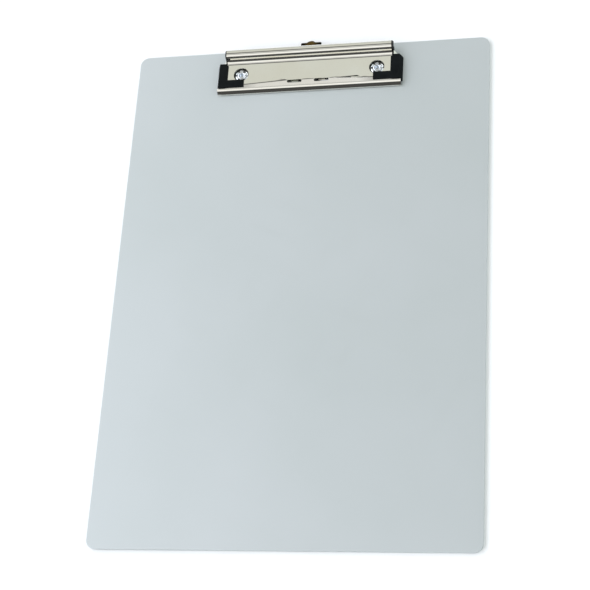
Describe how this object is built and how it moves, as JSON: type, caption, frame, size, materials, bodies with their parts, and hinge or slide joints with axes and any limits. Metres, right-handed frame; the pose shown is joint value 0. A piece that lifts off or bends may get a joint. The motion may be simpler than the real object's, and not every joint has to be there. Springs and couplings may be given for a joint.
{
  "type": "clipboard",
  "caption": "Flat A4 clipboard with rounded corners, a low-profile sprung clip with rubber corners, and a sliding hanger tab.",
  "frame": {"origin": "centre of the board's back face", "axes": "+X to the right across the board, +Y along the board towards the clip, +Z out of the writing face"},
  "size_m": [0.23, 0.3346, 0.0114],
  "materials": {
    "board_sheet": "satin anodised",
    "nickel_plate": "bright nickel plate",
    "rod_steel": "drawn steel",
    "spring_wire": "oiled spring wire",
    "rivet_metal": "bright zinc plate",
    "black_rubber": "moulded, satin",
    "bronze_tab": "dark bronze plate"
  },
  "bodies": {
    "board": {"board": "board_sheet", "base_plate": "nickel_plate", "rivet_left": "rivet_metal", "rivet_right": "rivet_metal", "pivot_rod": "rod_steel", "spring_left": "spring_wire", "spring_right": "spring_wire"},
    "clamp": {"clamp_plate": "nickel_plate", "rubber_corner_left": "black_rubber", "rubber_corner_right": "black_rubber"},
    "hanger": {"hanger": "bronze_tab"}
  },
  "joints": [
    {"name": "clamp_hinge", "type": "hinge", "parent": "board", "child": "clamp", "pos_m": [0, 0.1577, 0.0056], "axis": [-1, 0, 0], "range_deg": [0, 24], "stiffness_Nm_per_rad": 0.4, "springref_deg": -68.75, "deforming": ["spring_left", "spring_right"]},
    {"name": "hanger_slide", "type": "slide", "parent": "board", "child": "hanger", "axis": [0, 1, 0], "range_m": [0, 0.012]}
  ]
}
